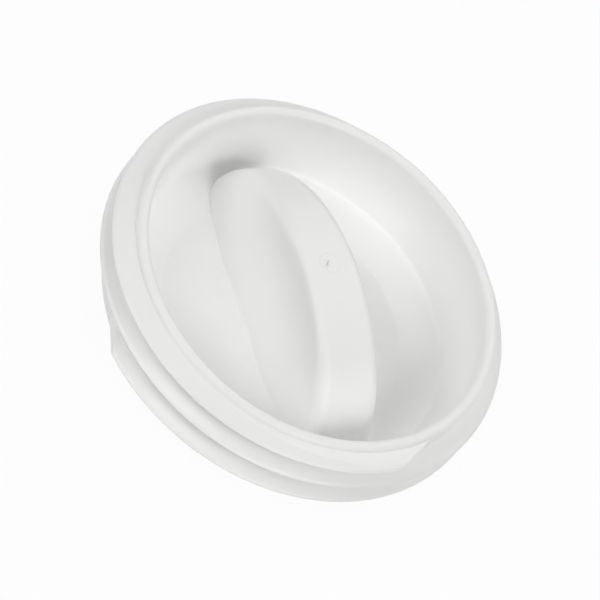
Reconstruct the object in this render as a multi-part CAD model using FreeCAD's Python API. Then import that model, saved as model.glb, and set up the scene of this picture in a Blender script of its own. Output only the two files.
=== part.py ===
"""Screw-in filter cap of a washing machine's drain pump, with its sealing ring.

The cap is one white plastic moulding: a deep round dish with a rounded lip, a
half-moon grip bar across the dish, a coarse right-hand screw thread outside, and
behind it a short spigot with a groove for the ring. It lies on the spigot, dish
upwards. The origin is on the cap's axis, on the spigot's end face, and +X runs
along the grip bar.
"""
import FreeCAD
import Part
import math
import os

from FreeCAD import Vector

# Driving dimensions, millimetres and degrees

THREAD_CREST_RADIUS = 35.1    # overall radius, over the thread
THREAD_DEPTH = 3.3            # crest above the sleeve
THREAD_PITCH = 4.7
THREAD_CREST_FLAT = 0.1       # between the two bevels
THREAD_CREST_BEVEL = 0.4
THREAD_FRONT_DROP = 1.2       # slope of the flank that faces the lip, along the axis
THREAD_BACK_DROP = 1.25       # slope of the flank that faces the spigot
THREAD_END_MARGIN = 2.75      # plain sleeve left behind the end of the crest
THREAD_START_ANGLE = 18.7     # from +X, counter-clockwise seen from the front
THREAD_RUN_IN = 14.0          # arc over which the start rises to full depth
THREAD_RUN_OUT = 12.0         # arc over which the end falls back to the sleeve
THREAD_ROOT_SINK = 0.8        # depth of the ridge's root inside the sleeve

LIP_WIDTH = 2.0
LIP_RISE = 0.8                # rounded lip above its base

DISH_DEPTH = 13.7             # lip's base to the edge of the floor's disc
DISH_WALL_DRAFT = 6.2
FLOOR_WALL = 2.2
FLOOR_RING_WIDTH = 7.2        # sloping ring between the wall and the disc
FLOOR_RING_RISE = 1.1
FLOOR_CORNER_RADIUS = 0.7
FLOOR_DISC_RISE = 0.5         # disc's edge to the foot of the cone
FLOOR_CONE_RADIUS = 12.6      # low cone in the middle of the disc
FLOOR_CONE_RISE = 2.4

BAR_RISE = 4.25               # top of the grip above the lip's base
BAR_NEAR_GAP = 2.5            # between the grip's +X end and the dish wall, at the grip's foot
BAR_FAR_GAP = 1.8             # the same at its -X end
BAR_TOP_WIDTH = 10.2          # in the middle of the grip
BAR_WAIST_WIDTH = 12.2        # in the middle, half-way up
BAR_FOOT_WIDTH = 18.0         # in the middle, at the foot
BAR_NEAR_WIDTH = 11.6         # at the +X end, all the way up
BAR_FAR_WIDTH = 10.4          # at the -X end, all the way up
BAR_BOW_START = 7.0           # where the sides begin to draw in, from the middle
BAR_RIDGE_RADIUS = 1.4        # rounding of the ridges, in the middle
BAR_NEAR_RADIUS = 2.6         # rounding of the ridges at the +X end
BAR_FAR_FLAT = 0.8            # left between the rounded corners of the -X end
BAR_WALL = 2.2                # the grip is hollow from behind
HOLLOW_END_STEP = 0.6         # between the hollow's end and the spigot's bore

BACK_CHAMFER = 1.2            # bevel behind the sleeve
SHOULDER_WIDTH = 5.0          # flat seat behind the bevel, down to the groove
SEAL_SECTION = 2.6            # thickness of the sealing ring
SEAL_SIDE_ROOM = 0.4          # groove wider than the ring
SEAL_CLEARANCE = 0.05         # between the ring and the groove's bottom
SEAL_LEDGE = 1.2              # flange that keeps the ring on
SEAL_FLANGE = 1.5             # thickness of that flange
SPIGOT_WALL = 2.2

# Radii

sleeve_radius = THREAD_CREST_RADIUS - THREAD_DEPTH
lip_inner_radius = sleeve_radius - LIP_WIDTH
groove_radius = sleeve_radius - BACK_CHAMFER - SHOULDER_WIDTH
flange_radius = groove_radius + SEAL_LEDGE
spigot_bore_radius = groove_radius - SPIGOT_WALL

# Heights above the spigot's end face

shoulder_level = SEAL_FLANGE + SEAL_SECTION + SEAL_SIDE_ROOM
floor_edge_level = shoulder_level + FLOOR_WALL
floor_level = floor_edge_level - FLOOR_RING_RISE
cone_level = floor_level + FLOOR_DISC_RISE
lip_level = floor_level + DISH_DEPTH
sleeve_end_level = shoulder_level + BACK_CHAMFER

wall_height = lip_level - floor_edge_level
dish_floor_radius = lip_inner_radius - wall_height * math.tan(math.radians(DISH_WALL_DRAFT))
disc_radius = dish_floor_radius - FLOOR_RING_WIDTH

AXIS = Vector(0, 0, 1)
ORIGIN = Vector(0, 0, 0)
FULL_TURN = 360.0


def line(start, end):
    """Straight edge between two points."""
    return Part.LineSegment(start, end).toShape()


def arc(start, middle, end):
    """Round edge through three points."""
    return Part.Arc(start, middle, end).toShape()


def bow(start, pole, end):
    """Bowed edge that leaves both points towards the pole."""
    curve = Part.BezierCurve()
    curve.setPoles([start, pole, end])
    return curve.toShape()


def section_point(radius, height):
    """Point of a turned section, in the half-plane y = 0."""
    return Vector(radius, 0, height)


def turned(edges):
    """Solid turned about the cap's axis from the closed section that the edges make."""
    face = Part.Face(Part.Wire(edges))
    return face.revolve(ORIGIN, AXIS, FULL_TURN)


def corner_arc(before, corner, after, radius):
    """Round a corner of a section: the two points of tangency and the point between them."""
    towards_before = (before - corner).normalize()
    towards_after = (after - corner).normalize()
    half_angle = towards_before.getAngle(towards_after) / 2
    reach = radius / math.tan(half_angle)
    bisector = (towards_before + towards_after).normalize()
    middle = corner + bisector * (radius / math.sin(half_angle) - radius)
    return corner + towards_before * reach, middle, corner + towards_after * reach


def turned_body():
    """Dish, lip, sleeve and spigot as one turned solid, without thread and grip."""
    lip_inner = section_point(lip_inner_radius, lip_level)
    lip_top = section_point(lip_inner_radius + LIP_WIDTH / 2, lip_level + LIP_RISE)
    lip_outer = section_point(sleeve_radius, lip_level)
    sleeve_end = section_point(sleeve_radius, sleeve_end_level)
    shoulder_outer = section_point(sleeve_radius - BACK_CHAMFER, shoulder_level)
    shoulder_inner = section_point(groove_radius, shoulder_level)
    groove_end = section_point(groove_radius, SEAL_FLANGE)
    flange_front = section_point(flange_radius, SEAL_FLANGE)
    flange_back = section_point(flange_radius, 0)
    bore_back = section_point(spigot_bore_radius, 0)
    bore_front = section_point(spigot_bore_radius, floor_level - FLOOR_WALL)
    back_middle = section_point(0, floor_level - FLOOR_WALL)
    floor_middle = section_point(0, cone_level + FLOOR_CONE_RISE)
    cone_foot = section_point(FLOOR_CONE_RADIUS, cone_level)
    disc_edge = section_point(disc_radius, floor_level)
    floor_corner = section_point(dish_floor_radius, floor_edge_level)
    ring_end, corner_middle, wall_foot = corner_arc(disc_edge, floor_corner, lip_inner, FLOOR_CORNER_RADIUS)

    return turned([
        arc(lip_inner, lip_top, lip_outer),
        line(lip_outer, sleeve_end),
        line(sleeve_end, shoulder_outer),
        line(shoulder_outer, shoulder_inner),
        line(shoulder_inner, groove_end),
        line(groove_end, flange_front),
        line(flange_front, flange_back),
        line(flange_back, bore_back),
        line(bore_back, bore_front),
        line(bore_front, back_middle),
        line(back_middle, floor_middle),
        line(floor_middle, cone_foot),
        line(cone_foot, disc_edge),
        line(disc_edge, ring_end),
        arc(ring_end, corner_middle, wall_foot),
        line(wall_foot, lip_inner),
    ])


def end_cutter(angle, full_depth_angle, low, high):
    """Block that bevels an end of the thread.

    Its working face runs from the sleeve at the end's angle out to the crest at
    full_depth_angle, and the block lies on the side of the end.
    """
    root = Vector(sleeve_radius, 0, 0)
    crest = Vector(THREAD_CREST_RADIUS, 0, 0)
    root_point = FreeCAD.Rotation(AXIS, angle).multVec(root)
    crest_point = FreeCAD.Rotation(AXIS, full_depth_angle).multVec(crest)
    along = (crest_point - root_point).normalize()
    side = math.copysign(1, angle - full_depth_angle)
    outwards = FreeCAD.Rotation(AXIS, angle).multVec(Vector(0, side, 0))
    across = along.cross(AXIS)
    if across.dot(outwards) < 0:
        across = across.negative()
    reach = 2 * THREAD_DEPTH + THREAD_CREST_RADIUS * math.radians(abs(angle - full_depth_angle))
    inner = root_point - along * reach
    outer = crest_point + along * reach
    corners = [inner, outer, outer + across * reach, inner + across * reach]
    corners = [Vector(corner.x, corner.y, low) for corner in corners]
    face = Part.Face(Part.makePolygon(corners + corners[:1]))
    return face.extrude(Vector(0, 0, high - low))


def thread():
    """Helical ridge round the sleeve, bevelled at both ends and level with the lip's base."""
    end_height = sleeve_end_level + THREAD_END_MARGIN
    turns = (lip_level - end_height) / THREAD_PITCH
    end_angle = THREAD_START_ANGLE - FULL_TURN * turns

    sink_share = THREAD_ROOT_SINK / THREAD_DEPTH
    root_radius = sleeve_radius - THREAD_ROOT_SINK
    front_root = THREAD_FRONT_DROP * (1 + sink_share)
    crest_width = THREAD_CREST_FLAT + 2 * THREAD_CREST_BEVEL
    back_root = crest_width + THREAD_BACK_DROP * (1 + sink_share)
    shoulder_radius = THREAD_CREST_RADIUS - THREAD_CREST_BEVEL
    section = [
        section_point(root_radius, front_root),
        section_point(shoulder_radius, 0),
        section_point(THREAD_CREST_RADIUS, -THREAD_CREST_BEVEL),
        section_point(THREAD_CREST_RADIUS, THREAD_CREST_BEVEL - crest_width),
        section_point(shoulder_radius, -crest_width),
        section_point(root_radius, -back_root),
    ]
    profile = Part.makePolygon(section + section[:1])
    path = Part.Wire(Part.makeHelix(THREAD_PITCH, lip_level - end_height, root_radius).Edges)
    ridge = path.makePipeShell([profile], True, True)
    ridge.rotate(ORIGIN, AXIS, end_angle)
    ridge.translate(Vector(0, 0, end_height))

    start_cutter = end_cutter(THREAD_START_ANGLE, THREAD_START_ANGLE - THREAD_RUN_IN,
                              lip_level - THREAD_PITCH / 2, lip_level + THREAD_PITCH / 2)
    end_bevel = end_cutter(end_angle, end_angle + THREAD_RUN_OUT,
                           end_height - THREAD_PITCH / 2, end_height + THREAD_PITCH / 2)
    above_lip = Part.makeCylinder(2 * THREAD_CREST_RADIUS, THREAD_PITCH, Vector(0, 0, lip_level))
    return ridge.cut([start_cutter, end_bevel, above_lip])


def half_outline(half_length, middle_half_width, end_half_width, height):
    """Closed plan outline of one half of the grip at one height.

    Both sides leave the middle along the grip and draw in, or spread, towards its end.
    """
    left_middle = Vector(0, -middle_half_width, height)
    left_pole = Vector(BAR_BOW_START, -middle_half_width, height)
    left_end = Vector(half_length, -end_half_width, height)
    right_end = Vector(half_length, end_half_width, height)
    right_pole = Vector(BAR_BOW_START, middle_half_width, height)
    right_middle = Vector(0, middle_half_width, height)
    return Part.Wire([
        bow(left_middle, left_pole, left_end),
        line(left_end, right_end),
        bow(right_end, right_pole, right_middle),
        line(right_middle, left_middle),
    ])


def half_moon(half_length, end_width, foot_level, inset):
    """One half of the grip, sharp-edged, from foot_level up to its arched top.

    Its side view is a quarter ellipse of the given half length that stands on
    foot_level, its sides run to end_width, and inset makes it lower and narrower.
    """
    top_level = lip_level + BAR_RISE - inset
    widths_and_levels = (
        (BAR_FOOT_WIDTH, foot_level),
        (BAR_WAIST_WIDTH, (foot_level + top_level) / 2),
        (BAR_TOP_WIDTH, top_level + BAR_WALL),
    )
    flanks = Part.makeLoft([
        half_outline(half_length + BAR_WALL, width / 2 - inset, end_width / 2 - inset, level)
        for width, level in widths_and_levels
    ], True, False)

    side = -BAR_FOOT_WIDTH
    middle = Vector(0, side, foot_level)
    end = Vector(half_length, side, foot_level)
    top = Vector(0, side, top_level)
    arch = Part.ArcOfEllipse(Part.Ellipse(end, top, middle), 0, math.pi / 2).toShape()
    side_view = Part.Face(Part.Wire([arch, line(top, middle), line(middle, end)]))
    return flanks.common(side_view.extrude(Vector(0, 2 * BAR_FOOT_WIDTH, 0)))


def ridge_of(half, side):
    """The ridge of a half grip on one side: the longest edge there, from the top down to the foot."""
    return max((edge for edge in half.Edges if side * edge.CenterOfMass.y > 0), key=lambda edge: edge.Length)


def soften(half, end_radius):
    """Round both ridges of a half grip, more and more towards its end."""
    for side in (-1, 1):
        ridge = ridge_of(half, side)
        radii = [BAR_RIDGE_RADIUS, end_radius]
        if ridge.valueAt(ridge.FirstParameter).z < ridge.valueAt(ridge.LastParameter).z:
            radii.reverse()
        half = half.makeFillet(*radii, [ridge])
    return half


def two_halves(near, far):
    """The +X half of a grip with the mirror image of the other half."""
    return near.fuse(far.mirror(ORIGIN, Vector(1, 0, 0))).removeSplitter()


def grip():
    """The grip bar, whose -X end is narrower and rounder than its +X end."""
    foot_level = floor_level - FLOOR_WALL / 2
    near = half_moon(dish_floor_radius - BAR_NEAR_GAP, BAR_NEAR_WIDTH, foot_level, 0)
    far = half_moon(dish_floor_radius - BAR_FAR_GAP, BAR_FAR_WIDTH, foot_level, 0)
    far_radius = (BAR_FAR_WIDTH - BAR_FAR_FLAT) / 2
    return two_halves(soften(near, BAR_NEAR_RADIUS), soften(far, far_radius))


def grip_hollow():
    """The free space in the grip bar, open behind."""
    half_length = spigot_bore_radius - HOLLOW_END_STEP
    foot_level = floor_level - FLOOR_WALL
    near = half_moon(half_length, BAR_NEAR_WIDTH, foot_level, BAR_WALL)
    far = half_moon(half_length, BAR_FAR_WIDTH, foot_level, BAR_WALL)
    return two_halves(near, far)


def filter_cap():
    """The whole moulding: body, thread and hollow grip."""
    cap = turned_body().fuse([thread(), grip()]).removeSplitter()
    return cap.cut(grip_hollow())


def sealing_ring():
    """Rubber ring of round section in the spigot's groove."""
    section_radius = SEAL_SECTION / 2
    centre_radius = groove_radius + SEAL_CLEARANCE + section_radius
    centre_level = SEAL_FLANGE + (shoulder_level - SEAL_FLANGE) / 2
    return Part.makeTorus(centre_radius, section_radius, Vector(0, 0, centre_level), AXIS)


os.makedirs("parts", exist_ok=True)
for node, shape in (("filter_cap", filter_cap()), ("sealing_ring", sealing_ring())):
    solid = shape.Solids[0]
    solid.exportStep("parts/" + node + ".step")
    print(node, "solids", len(shape.Solids), "valid", solid.isValid(), "volume", round(solid.Volume, 1))
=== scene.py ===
"""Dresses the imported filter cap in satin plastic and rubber, and sets it in a soft white studio.

Lengths are in metres and angles in degrees, unless a name says otherwise.
"""

import logging
import math
from dataclasses import dataclass, field
from enum import Enum
from typing import Any

import bpy
from mathutils import Matrix, Vector


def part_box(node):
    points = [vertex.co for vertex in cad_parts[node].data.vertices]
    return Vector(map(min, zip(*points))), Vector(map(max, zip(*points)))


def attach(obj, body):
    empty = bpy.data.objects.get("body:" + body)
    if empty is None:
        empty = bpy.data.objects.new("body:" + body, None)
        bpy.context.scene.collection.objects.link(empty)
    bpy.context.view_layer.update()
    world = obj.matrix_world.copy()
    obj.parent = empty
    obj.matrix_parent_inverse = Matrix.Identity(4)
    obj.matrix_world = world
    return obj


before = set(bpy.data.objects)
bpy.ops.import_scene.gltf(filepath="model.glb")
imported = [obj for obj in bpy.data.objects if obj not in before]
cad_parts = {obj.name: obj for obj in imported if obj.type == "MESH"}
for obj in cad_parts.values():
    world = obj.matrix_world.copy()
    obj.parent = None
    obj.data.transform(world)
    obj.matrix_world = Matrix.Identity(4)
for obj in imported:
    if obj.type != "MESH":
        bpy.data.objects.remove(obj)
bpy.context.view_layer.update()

LOG = logging.getLogger("filter_cap")
MM = 0.001
NOISE_MIDDLE = 0.5

Colour = tuple[float, float, float]


class Slot(Enum):
    """The record's material slot for white plastic."""

    WHITE_PLASTIC = "white_plastic"


class Body(Enum):
    """The bodies that pieces ride on."""

    ROOT = "root"


class Breadth(Enum):
    """How broad a lamp looks from the part, in degrees."""

    LAMP = 14.0
    PANEL = 40.0


def rgba(colour: Colour) -> tuple[float, float, float, float]:
    """Give a colour its full opacity."""
    return (*colour, 1.0)


class Signal:
    """An output socket that Python's operators work on: each one adds a Math node."""

    def __init__(self, graph: "Graph", socket: bpy.types.NodeSocket) -> None:
        """Hold one output socket and the graph that it belongs to."""
        self.graph = graph
        self.socket = socket

    def maths(self, operation: str, *terms: Any) -> "Signal":
        """Add a Math node.

        Args:
            operation: the Math node's operation.
            terms: its inputs in order, signals or numbers.

        Returns:
            The node's result.
        """
        made = self.graph.node("ShaderNodeMath", {"operation": operation}, dict(enumerate(terms)))
        return self.graph.signal(made)

    def __add__(self, other: Any) -> "Signal":
        """Add a signal or a number."""
        return self.maths("ADD", self, other)

    __radd__ = __add__

    def __sub__(self, other: Any) -> "Signal":
        """Take a signal or a number away."""
        return self.maths("SUBTRACT", self, other)

    def __rsub__(self, other: Any) -> "Signal":
        """Take this signal away from a number."""
        return self.maths("SUBTRACT", other, self)

    def __mul__(self, other: Any) -> "Signal":
        """Multiply by a signal or a number."""
        return self.maths("MULTIPLY", self, other)

    __rmul__ = __mul__

    def __abs__(self) -> "Signal":
        """Drop the sign."""
        return self.maths("ABSOLUTE", self)

    def larger(self, other: Any) -> "Signal":
        """Keep the larger of this signal and another."""
        return self.maths("MAXIMUM", self, other)

    def smooth_step(self, low: float, high: float) -> "Signal":
        """Rise softly from 0 at low to 1 at high.

        Args:
            low: the value that gives 0.
            high: the value that gives 1; below low, the step falls instead.

        Returns:
            The step, from 0 to 1.
        """
        made = self.graph.node(
            "ShaderNodeMapRange",
            {"interpolation_type": "SMOOTHSTEP"},
            {"Value": self, "From Min": low, "From Max": high},
        )
        return self.graph.signal(made)


class Graph:
    """A node tree that is filled from code."""

    EDGE_SAMPLES = 8

    def __init__(self, tree: bpy.types.NodeTree) -> None:
        """Take over a tree and empty it."""
        self.tree = tree
        tree.nodes.clear()

    def node(
        self,
        kind: str,
        settings: dict[str, Any] | None = None,
        inputs: dict[str | int, Any] | None = None,
    ) -> bpy.types.Node:
        """Add a node.

        Args:
            kind: the node's type.
            settings: its own options, set before its sockets.
            inputs: values or signals of its sockets, by name or number.

        Returns:
            The node.
        """
        made = self.tree.nodes.new(kind)
        for name, value in (settings or {}).items():
            setattr(made, name, value)
        for key, value in (inputs or {}).items():
            if isinstance(value, Signal):
                self.tree.links.new(value.socket, made.inputs[key])
            else:
                made.inputs[key].default_value = value
        return made

    def signal(self, node: bpy.types.Node, output: str | int = 0) -> Signal:
        """Take one output of a node."""
        return Signal(self, node.outputs[output])

    def object_place(self) -> Signal:
        """Read the place on the object, in metres."""
        return self.signal(self.node("ShaderNodeTexCoord"), "Object")

    def noise(self, place: Signal, size: float, detail: float = 2.0) -> Signal:
        """Add a noise.

        Args:
            place: where it is read.
            size: the size of its grains, in metres.
            detail: how many finer layers it has.

        Returns:
            The noise, about 0.5.
        """
        made = self.node(
            "ShaderNodeTexNoise", {}, {"Vector": place, "Scale": 1 / size, "Detail": detail}
        )
        return self.signal(made, "Fac")

    def blend(self, share: Signal, first: Colour | Signal, second: Colour) -> Signal:
        """Mix two colours.

        Args:
            share: how much of the second one shows.
            first: the colour at 0, plain or already mixed.
            second: the colour at 1.

        Returns:
            The mixed colour.
        """
        start = first if isinstance(first, Signal) else rgba(first)
        made = self.node(
            "ShaderNodeMix",
            {"data_type": "RGBA"},
            {"Factor": share, "A": start, "B": rgba(second)},
        )
        return self.signal(made, "Result")

    def bumped(self, height: Signal, depth: float, edge_radius: float) -> Signal:
        """Bend the surface's normal by a relief, with softened edges.

        Args:
            height: the relief, from 0 to 1.
            depth: its depth at 1, in metres.
            edge_radius: how far edges look rounded, in metres.

        Returns:
            The normal.
        """
        soft = self.node("ShaderNodeBevel", {"samples": self.EDGE_SAMPLES}, {"Radius": edge_radius})
        made = self.node(
            "ShaderNodeBump",
            {},
            {"Height": height, "Distance": depth, "Normal": self.signal(soft)},
        )
        return self.signal(made)

    def end(self, kind: str, shader: Signal) -> None:
        """Lead a shader to the output node of the given type."""
        self.node(kind, {}, {"Surface": shader})


@dataclass(frozen=True)
class CreviceShadow:
    """A dark stroke of painted shade that stands for the shadow in a torn crevice, seen from the
    front; it fades outside its core.
    """

    place: tuple[float, float] = (0.1 * MM, -0.85 * MM)
    turn: float = -37.0
    half_length: float = 1.0 * MM
    length_core: float = 0.25 * MM
    half_width: float = 0.16 * MM
    width_core: float = 0.16 * MM / 3
    # Colour of the painted shade in the crevice.
    colour: Colour = (0.56, 0.56, 0.54)

    def share(self, graph: Graph, place: Signal) -> Signal:
        """Draw the painted crevice shadow.

        Args:
            graph: the graph to draw it in.
            place: the place on the object.

        Returns:
            1 in the painted shadow and 0 beside it.
        """
        parts = graph.node("ShaderNodeSeparateXYZ", {}, {"Vector": place})
        x, y = (graph.signal(parts, name) - middle for name, middle in zip("XY", self.place))
        cosine, sine = math.cos(math.radians(self.turn)), math.sin(math.radians(self.turn))
        along, across = abs(x * cosine + y * sine), abs(y * cosine - x * sine)
        length = along.smooth_step(self.half_length, self.length_core)
        return length * across.smooth_step(self.half_width, self.width_core)


@dataclass(frozen=True)
class SatinPlastic:
    """White satin injection moulding with flow marks, scuffs and fine grain, and where given a stroke
    of painted crevice shadow.
    """

    name: str = "white_satin_plastic"
    crevice_shadow: CreviceShadow | None = None
    colour: Colour = (0.943, 0.942, 0.934)
    flow_colour: Colour = (0.928, 0.928, 0.921)
    roughness: float = 0.44
    roughness_spread: float = 0.12
    ior: float = 1.49
    flow_size: float = 14 * MM
    flow_detail: float = 3.0
    flow_range: tuple[float, float] = (0.35, 0.7)
    scuff_size: float = 14 * MM / 6
    scuff_detail: float = 4.0
    grain_size: float = 0.35 * MM
    relief_depth: float = 0.006 * MM
    edge_radius: float = 0.22 * MM

    def make(self) -> bpy.types.Material:
        """Build the material.

        Returns:
            The material.
        """
        material = bpy.data.materials.new(self.name)
        material.use_nodes = True
        graph = Graph(material.node_tree)
        place = graph.object_place()
        flow = graph.noise(place, self.flow_size, self.flow_detail)
        grain = graph.noise(place, self.grain_size)
        scuff = graph.noise(place, self.scuff_size, self.scuff_detail)
        colour = graph.blend(flow.smooth_step(*self.flow_range), self.colour, self.flow_colour)
        # A dark stroke of painted shade stands for the shadow in a torn crevice.
        if self.crevice_shadow:
            colour = graph.blend(self.crevice_shadow.share(graph, place), colour, self.crevice_shadow.colour)
        spread = self.roughness_spread
        uneven = (grain - NOISE_MIDDLE) * spread + (scuff - NOISE_MIDDLE) * spread
        shader = graph.node(
            "ShaderNodeBsdfPrincipled",
            {},
            {
                "Base Color": colour,
                "Roughness": uneven + self.roughness,
                "Normal": graph.bumped(grain, self.relief_depth, self.edge_radius),
                "IOR": self.ior,
            },
        )
        graph.end("ShaderNodeOutputMaterial", graph.signal(shader))
        return material


@dataclass(frozen=True)
class MattRubber:
    """Black moulded rubber with a faint bloom and the line where its mould parts."""

    name: str = "black_matt_rubber"
    colour: Colour = (0.022, 0.022, 0.024)
    bloom_colour: Colour = (0.05, 0.05, 0.052)
    roughness: float = 0.62
    roughness_spread: float = 0.2
    bloom_size: float = 3 * MM
    bloom_detail: float = 4.0
    bloom_range: tuple[float, float] = (0.4, 0.75)
    grain_size: float = 0.2 * MM
    grain_relief: float = 0.5
    relief_depth: float = 0.01 * MM
    edge_radius: float = 0.05 * MM
    parting_width: float = 0.12 * MM
    parting_core: float = 0.04 * MM
    parting_bloom: float = 0.6
    parting_relief: float = 2.0

    def make(self, parting_level: float) -> bpy.types.Material:
        """Build the material.

        Args:
            parting_level: height of the mould's parting line, in metres.

        Returns:
            The material.
        """
        material = bpy.data.materials.new(self.name)
        material.use_nodes = True
        graph = Graph(material.node_tree)
        place = graph.object_place()
        height = graph.signal(graph.node("ShaderNodeSeparateXYZ", {}, {"Vector": place}), "Z")
        bloom = graph.noise(place, self.bloom_size, self.bloom_detail)
        grain = graph.noise(place, self.grain_size)
        parting = abs(height - parting_level).smooth_step(self.parting_width, self.parting_core)
        pale = bloom.smooth_step(*self.bloom_range).larger(parting * self.parting_bloom)
        relief = grain * self.grain_relief + parting * self.parting_relief
        uneven = (bloom - NOISE_MIDDLE) * self.roughness_spread
        shader = graph.node(
            "ShaderNodeBsdfPrincipled",
            {},
            {
                "Base Color": graph.blend(pale, self.colour, self.bloom_colour),
                "Roughness": uneven + self.roughness,
                "Normal": graph.bumped(relief, self.relief_depth, self.edge_radius),
            },
        )
        graph.end("ShaderNodeOutputMaterial", graph.signal(shader))
        return material


def dress(piece: bpy.types.Object, material: bpy.types.Material) -> None:
    """Give a piece one material all over."""
    piece.data.materials.clear()
    piece.data.materials.append(material)


class Modelling:
    """Edit-mode helpers for pieces that are shaped by operators."""

    MERGE_GAP = 0.001 * MM
    SMOOTH_ANGLE = 35.0

    @staticmethod
    def start() -> None:
        """Leave nothing selected."""
        bpy.ops.object.select_all(action="DESELECT")

    @staticmethod
    def lift(height: float) -> None:
        """Extrude the selected faces straight up."""
        bpy.ops.mesh.extrude_region_move(TRANSFORM_OT_translate={"value": (0, 0, height)})

    @staticmethod
    def close(piece: bpy.types.Object) -> None:
        """Turn every face outwards and leave edit mode.

        Args:
            piece: the piece in edit mode.
        """
        bpy.ops.mesh.select_all(action="SELECT")
        bpy.ops.mesh.remove_doubles(threshold=Modelling.MERGE_GAP)
        bpy.ops.mesh.normals_make_consistent(inside=False)
        bpy.ops.object.mode_set(mode="OBJECT")
        bpy.ops.object.shade_smooth_by_angle(angle=math.radians(Modelling.SMOOTH_ANGLE))
        piece.select_set(False)


@dataclass
class GateMark:
    """The mark on top of the grip where the runner of the mould was twisted off."""

    name: str = "gate_mark"
    place: tuple[float, float] = (0.1 * MM, -0.4 * MM)
    rim_radius: float = 1.8 * MM
    rim_width: float = 0.3 * MM
    rim_height: float = 0.05 * MM
    dish_depth: float = 0.03 * MM
    dish_share: float = 1 / 3
    stub_radius: float = 0.42 * MM
    stub_height: float = 0.34 * MM
    stub_offset: float = -0.55 * MM
    stub_tilt: float = 17.0
    stub_stretch: tuple[float, float, float] = (1.6, 0.75, 1.0)
    stub_taper: tuple[float, float, float] = (0.9, 0.5, 1.0)
    tip_taper: tuple[float, float, float] = (0.6, 0.5, 1.0)
    tip_share: float = 0.4
    sink: float = 0.1 * MM
    sides: int = 48
    arch_radius: float = 35.6 * MM

    def build(self, top_level: float) -> bpy.types.Object:
        """Model the mark on the grip.

        Args:
            top_level: height of the grip's top, in metres.

        Returns:
            The piece.
        """
        Modelling.start()
        bpy.ops.mesh.primitive_circle_add(
            vertices=self.sides, radius=self.rim_radius, fill_type="NGON", location=(0, 0, -self.sink)
        )
        piece = bpy.context.object
        piece.name = piece.data.name = self.name
        bpy.ops.object.transform_apply(location=True, rotation=True, scale=True)
        bpy.ops.object.mode_set(mode="EDIT")
        Modelling.lift(self.sink)
        bpy.ops.mesh.inset(thickness=self.rim_width / 2)
        bpy.ops.transform.translate(value=(0, 0, self.rim_height))
        bpy.ops.mesh.inset(thickness=self.rim_width / 2)
        bpy.ops.transform.translate(value=(0, 0, -self.dish_depth))
        bpy.ops.mesh.inset(thickness=(self.rim_radius - self.rim_width) * self.dish_share)
        self.raise_stub()
        Modelling.close(piece)
        self.settle(piece, top_level)
        return piece

    def raise_stub(self) -> None:
        """Shape the torn stub out of the selected middle of the dish."""
        middle = (self.rim_radius - self.rim_width) * (1 - self.dish_share)
        foot = (0, self.stub_offset, 0)
        tip = (0, self.stub_offset, self.stub_height)
        bpy.ops.mesh.inset(thickness=middle - self.stub_radius)
        bpy.ops.transform.translate(value=foot)
        bpy.ops.transform.resize(value=self.stub_stretch, center_override=foot)
        Modelling.lift(self.stub_height * (1 - self.tip_share))
        bpy.ops.transform.resize(value=self.stub_taper, center_override=foot)
        Modelling.lift(self.stub_height * self.tip_share)
        bpy.ops.transform.resize(value=self.tip_taper, center_override=foot)
        bpy.ops.transform.rotate(
            value=math.radians(self.stub_tilt), orient_axis="X", center_override=tip
        )

    def settle(self, piece: bpy.types.Object, top_level: float) -> None:
        """Lay the flat mark on the arched top.

        Args:
            piece: the mark, about the origin.
            top_level: height of the grip's top, in metres.
        """
        for vertex in piece.data.vertices:
            vertex.co.x += self.place[0]
            vertex.co.y += self.place[1]
            vertex.co.z += top_level - vertex.co.x**2 / (2 * self.arch_radius)


@dataclass
class FilterCap:
    """The white moulding with its gate mark."""

    node: str = "filter_cap"
    finish: SatinPlastic = SatinPlastic()
    # The gate mark's plastic carries a stroke of painted crevice shadow.
    crevice_shadow_finish: SatinPlastic = SatinPlastic("satin_plastic_with_painted_shadow", CreviceShadow())
    gate: GateMark = field(default_factory=GateMark)

    def build(self) -> list[bpy.types.Object]:
        """Dress the moulding and set the gate mark on it.

        Returns:
            The pieces.
        """
        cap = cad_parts[self.node]
        dress(cap, self.finish.make())
        mark = self.gate.build(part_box(self.node)[1].z)
        dress(mark, self.crevice_shadow_finish.make())
        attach(mark, Body.ROOT.value)
        return [cap, mark]


@dataclass
class SealingRing:
    """The rubber ring behind the cap."""

    node: str = "sealing_ring"
    finish: MattRubber = MattRubber()

    def build(self) -> list[bpy.types.Object]:
        """Dress the ring.

        Returns:
            The pieces.
        """
        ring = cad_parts[self.node]
        low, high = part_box(self.node)
        dress(ring, self.finish.make((low.z + high.z) / 2))
        return [ring]


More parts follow.
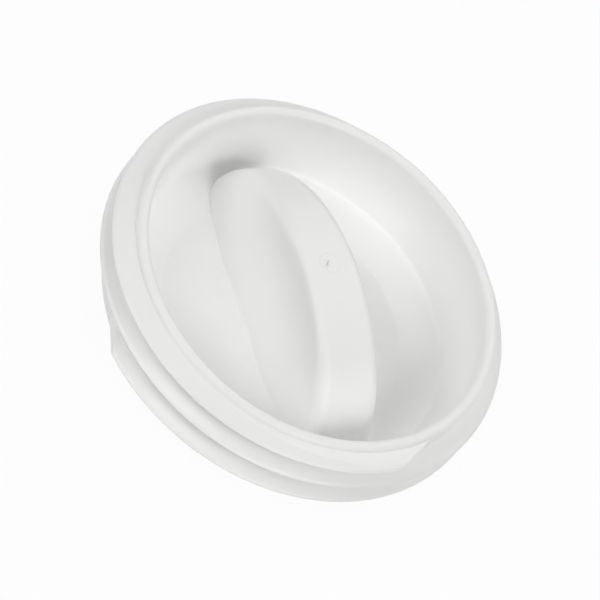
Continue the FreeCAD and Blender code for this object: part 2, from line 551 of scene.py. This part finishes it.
@dataclass
class PhotoCamera:
    """The camera of the photograph, fitted to the rims of the dish."""

    name: str = "photo_camera"
    axis_tilt: float = 41.59
    axis_roll: float = 48.59
    grip_turn: float = 37.2
    aim_pixel: tuple[float, float] = (319.77, 275.91)
    aim_level: float = 19.3 * MM
    pixels_per_metre: float = 6300.0
    distance: float = 0.7
    clip_factor: float = 100.0
    picture_pixels: float = 600.0
    sensor_mm: float = 36.0

    def view_axes(self) -> Matrix:
        """Work out how the camera is turned.

        Returns:
            A matrix whose columns point right, down and away in the picture.
        """
        tilt, roll = math.radians(self.axis_tilt), math.radians(self.axis_roll)
        turn = math.radians(-self.grip_turn)
        lean = Vector((math.cos(roll), -math.sin(roll), 0))
        axis = lean * math.sin(tilt) + Vector((0, 0, -math.cos(tilt)))
        across = Vector((math.sin(roll), math.cos(roll), 0))
        beside = axis.cross(across)
        grip = across * math.cos(turn) + beside * math.sin(turn)
        side = beside * math.cos(turn) - across * math.sin(turn)
        return Matrix((grip, side, axis))

    def build(self) -> None:
        """Set the scene's camera."""
        axes = self.view_axes()
        right, down, away = axes.col[0], axes.col[1], axes.col[2]
        middle = self.picture_pixels / 2
        shift = [(pixel - middle) / self.pixels_per_metre for pixel in self.aim_pixel]
        aim = Vector((0, 0, self.aim_level))
        stand = aim - right * shift[0] - down * shift[1] - away * self.distance
        lens = bpy.data.cameras.new(self.name)
        lens.sensor_width = self.sensor_mm
        lens.lens = self.pixels_per_metre * self.distance * self.sensor_mm / self.picture_pixels
        lens.clip_start = self.distance / self.clip_factor
        lens.clip_end = self.distance * self.clip_factor
        camera = bpy.data.objects.new(self.name, lens)
        turned = Matrix((right, -down, -away)).transposed().to_4x4()
        camera.matrix_world = Matrix.Translation(stand) @ turned
        bpy.context.scene.collection.objects.link(camera)
        bpy.context.scene.camera = camera


@dataclass(frozen=True)
class SoftLamp:
    """One soft lamp, far off."""

    name: str
    azimuth: float
    elevation: float
    level: float
    breadth: Breadth = Breadth.LAMP

    def build(self) -> None:
        """Hang the lamp; a level of 1 lights a surface that faces it as bright as its colour."""
        azimuth, elevation = math.radians(self.azimuth), math.radians(self.elevation)
        towards = Vector(
            (
                math.cos(elevation) * math.cos(azimuth),
                math.cos(elevation) * math.sin(azimuth),
                math.sin(elevation),
            )
        )
        light = bpy.data.lights.new(self.name, "SUN")
        light.energy = math.pi * self.level
        light.angle = math.radians(self.breadth.value)
        lamp = bpy.data.objects.new(self.name, light)
        lamp.rotation_mode = "QUATERNION"
        lamp.rotation_quaternion = (-towards).to_track_quat("-Z", "Y")
        bpy.context.scene.collection.objects.link(lamp)


@dataclass
class Studio:
    """A pale floor under soft lamps, in front of white."""

    floor_size: float = 6.0
    floor_drop: float = 0.1 * MM
    floor_colour: Colour = (0.85, 0.85, 0.85)
    floor_shade: float = 0.05
    white: Colour = (1.0, 1.0, 1.0)
    white_level: float = 1.0
    sky_level: float = 0.01
    lamps: tuple[SoftLamp, ...] = (
        SoftLamp("near_panel", 0, 38, 0.311, Breadth.PANEL),
        SoftLamp("right_panel", 108, 38, 0.125, Breadth.PANEL),
        SoftLamp("left_panel", 252, 38, 0.376, Breadth.PANEL),
        SoftLamp("near_lamp", 0, 48, 0.084),
        SoftLamp("near_right_lamp", 60, 32, 0.084),
        SoftLamp("far_right_lamp", 150, 32, 0.082),
        SoftLamp("low_far_lamp", 210, 16, 0.075),
        SoftLamp("high_right_lamp", 135, 64, 0.056),
        SoftLamp("high_far_lamp", 180, 64, 0.042),
        SoftLamp("high_near_lamp", 315, 64, 0.050),
    )

    def seen(self, graph: Graph) -> Signal:
        """Tell the rays that show the background from those that light the object.

        Args:
            graph: the graph to read them in.

        Returns:
            1 for rays of the camera, of gloss and through glass, and else 0.
        """
        path = graph.node("ShaderNodeLightPath")
        rays = ("Is Camera Ray", "Is Glossy Ray", "Is Transmission Ray")
        camera, gloss, glass = (graph.signal(path, ray) for ray in rays)
        return camera.larger(gloss).larger(glass)

    def lay_floor(self) -> None:
        """Lay the floor, which keeps a faint shadow."""
        Modelling.start()
        bpy.ops.mesh.primitive_plane_add(size=self.floor_size, location=(0, 0, -self.floor_drop))
        floor = bpy.context.object
        floor.name = "floor"
        material = bpy.data.materials.new("pale_floor")
        material.use_nodes = True
        graph = Graph(material.node_tree)
        matt = graph.node("ShaderNodeBsdfDiffuse", {}, {"Color": rgba(self.floor_colour)})
        glow = graph.node(
            "ShaderNodeEmission", {}, {"Color": rgba(self.white), "Strength": self.white_level}
        )
        mixed = graph.node(
            "ShaderNodeMixShader",
            {},
            {
                0: self.seen(graph) * (1 - self.floor_shade),
                1: graph.signal(matt),
                2: graph.signal(glow),
            },
        )
        graph.end("ShaderNodeOutputMaterial", graph.signal(mixed))
        dress(floor, material)

    def light_sky(self) -> None:
        """Make the surroundings white to look at, and dim as a light."""
        world = bpy.data.worlds.new("white_surroundings")
        world.use_nodes = True
        bpy.context.scene.world = world
        graph = Graph(world.node_tree)
        strength = self.seen(graph) * (self.white_level - self.sky_level) + self.sky_level
        sky = graph.node("ShaderNodeBackground", {}, {"Color": rgba(self.white), "Strength": strength})
        graph.end("ShaderNodeOutputWorld", graph.signal(sky))

    def build(self) -> None:
        """Set up the floor, the surroundings and the lamps."""
        self.lay_floor()
        self.light_sky()
        for lamp in self.lamps:
            lamp.build()
        bpy.context.scene.view_settings.view_transform = "Standard"


def main() -> None:
    """Build the part's pieces in order, then the camera and the studio."""
    logging.basicConfig(level=logging.INFO, format="%(name)s: %(message)s")
    for assembly in (FilterCap(), SealingRing()):
        for piece in assembly.build():
            LOG.info("%s: %d faces", piece.name, len(piece.data.polygons))
    PhotoCamera().build()
    Studio().build()


if __name__ == "__main__":
    main()
